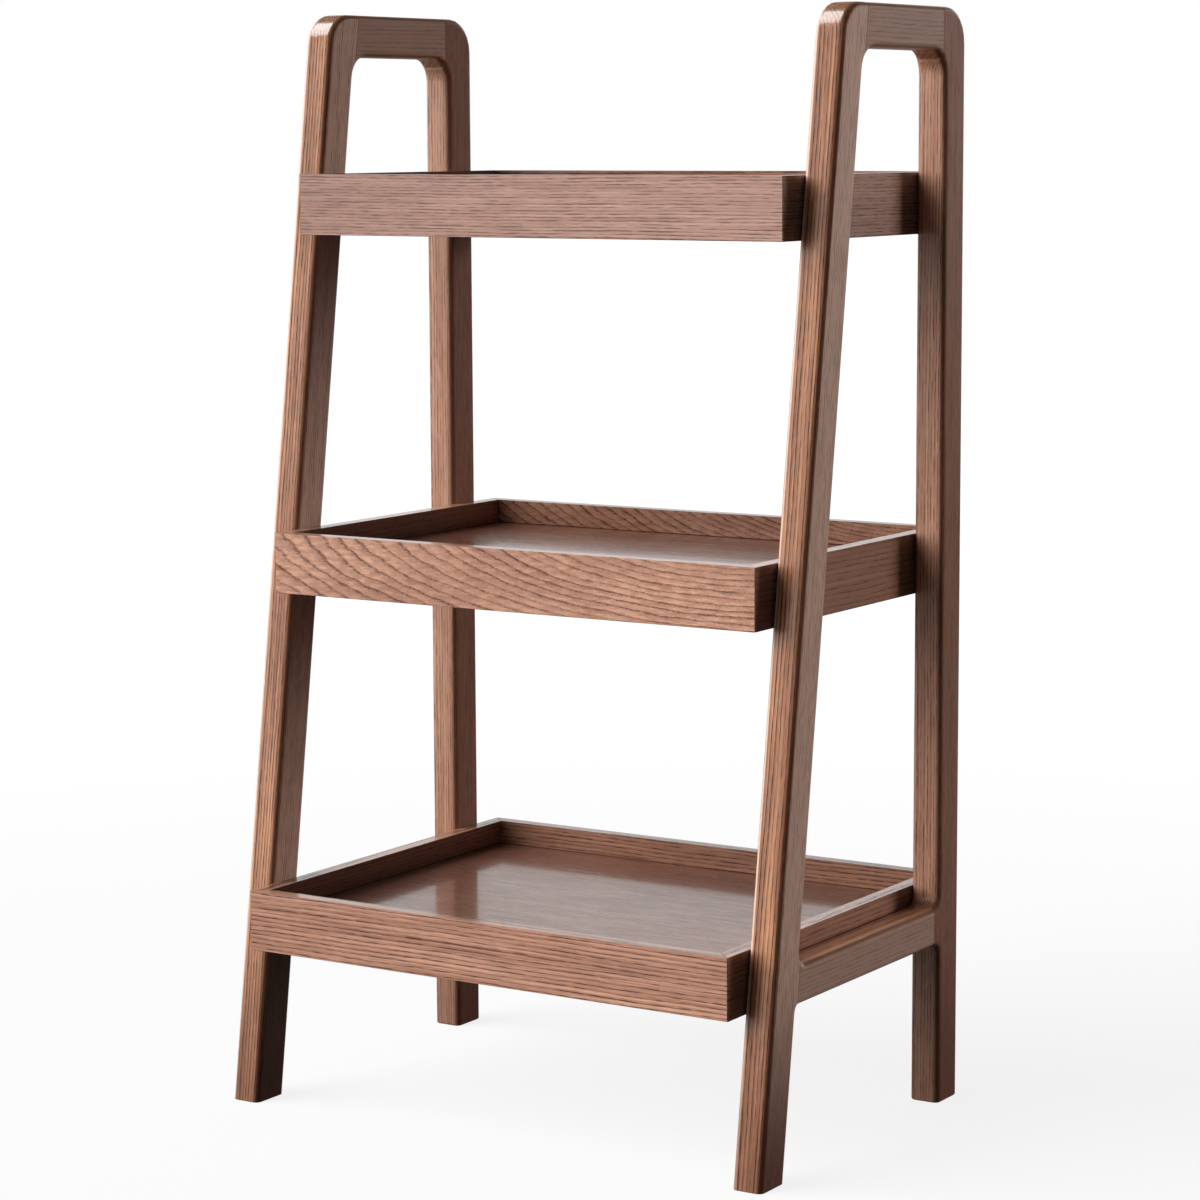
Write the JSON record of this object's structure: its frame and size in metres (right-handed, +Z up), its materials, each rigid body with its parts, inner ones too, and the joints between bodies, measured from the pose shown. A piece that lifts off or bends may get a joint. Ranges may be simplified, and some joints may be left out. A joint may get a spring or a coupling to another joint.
{
  "type": "ladder shelf",
  "caption": "Freestanding ladder shelf in dark oak: leaning front legs, upright rear legs and raised-edge trays that deepen towards the floor.",
  "frame": {"origin": "middle of the footprint, on the floor", "axes": "+Z up, front faces -Y, +X to the right seen from the front"},
  "size_m": [0.482, 0.3438, 0.85],
  "materials": {
    "frame_wood": "dark brown stained open-grain oak under satin lacquer",
    "tray_board_wood": "red-brown stained open-grain oak under satin lacquer",
    "tray_floor_wood": "brown stained oak veneer under semi-gloss lacquer",
    "tenon_wood": "unfinished oak, hidden in the joints",
    "bolt_steel": "black oxide steel",
    "insert_brass": "plain machined brass"
  },
  "bodies": {
    "root": {"left_front_leg": "frame_wood", "left_rear_leg": "frame_wood", "left_top_rail": "frame_wood", "left_low_rail": "frame_wood", "left_top_rail_front_tenon": "tenon_wood", "left_top_rail_rear_tenon": "tenon_wood", "left_low_rail_front_tenon": "tenon_wood", "left_low_rail_rear_tenon": "tenon_wood", "right_front_leg": "frame_wood", "right_rear_leg": "frame_wood", "right_top_rail": "frame_wood", "right_low_rail": "frame_wood", "right_top_rail_front_tenon": "tenon_wood", "right_top_rail_rear_tenon": "tenon_wood", "right_low_rail_front_tenon": "tenon_wood", "right_low_rail_rear_tenon": "tenon_wood", "bottom_tray_front_board": "tray_board_wood", "bottom_tray_back_board": "tray_board_wood", "bottom_tray_left_board": "tray_board_wood", "bottom_tray_right_board": "tray_board_wood", "bottom_tray_floor": "tray_floor_wood", "bottom_tray_left_front_bolt": "bolt_steel", "bottom_tray_left_front_insert": "insert_brass", "bottom_tray_left_rear_bolt": "bolt_steel", "bottom_tray_left_rear_insert": "insert_brass", "bottom_tray_right_front_bolt": "bolt_steel", "bottom_tray_right_front_insert": "insert_brass", "bottom_tray_right_rear_bolt": "bolt_steel", "bottom_tray_right_rear_insert": "insert_brass", "middle_tray_front_board": "tray_board_wood", "middle_tray_back_board": "tray_board_wood", "middle_tray_left_board": "tray_board_wood", "middle_tray_right_board": "tray_board_wood", "middle_tray_floor": "tray_floor_wood", "middle_tray_left_front_bolt": "bolt_steel", "middle_tray_left_front_insert": "insert_brass", "middle_tray_left_rear_bolt": "bolt_steel", "middle_tray_left_rear_insert": "insert_brass", "middle_tray_right_front_bolt": "bolt_steel", "middle_tray_right_front_insert": "insert_brass", "middle_tray_right_rear_bolt": "bolt_steel", "middle_tray_right_rear_insert": "insert_brass", "top_tray_front_board": "tray_board_wood", "top_tray_back_board": "tray_board_wood", "top_tray_left_board": "tray_board_wood", "top_tray_right_board": "tray_board_wood", "top_tray_floor": "tray_floor_wood", "top_tray_left_front_bolt": "bolt_steel", "top_tray_left_front_insert": "insert_brass", "top_tray_left_rear_bolt": "bolt_steel", "top_tray_left_rear_insert": "insert_brass", "top_tray_right_front_bolt": "bolt_steel", "top_tray_right_front_insert": "insert_brass", "top_tray_right_rear_bolt": "bolt_steel", "top_tray_right_rear_insert": "insert_brass"}
  },
  "joints": []
}
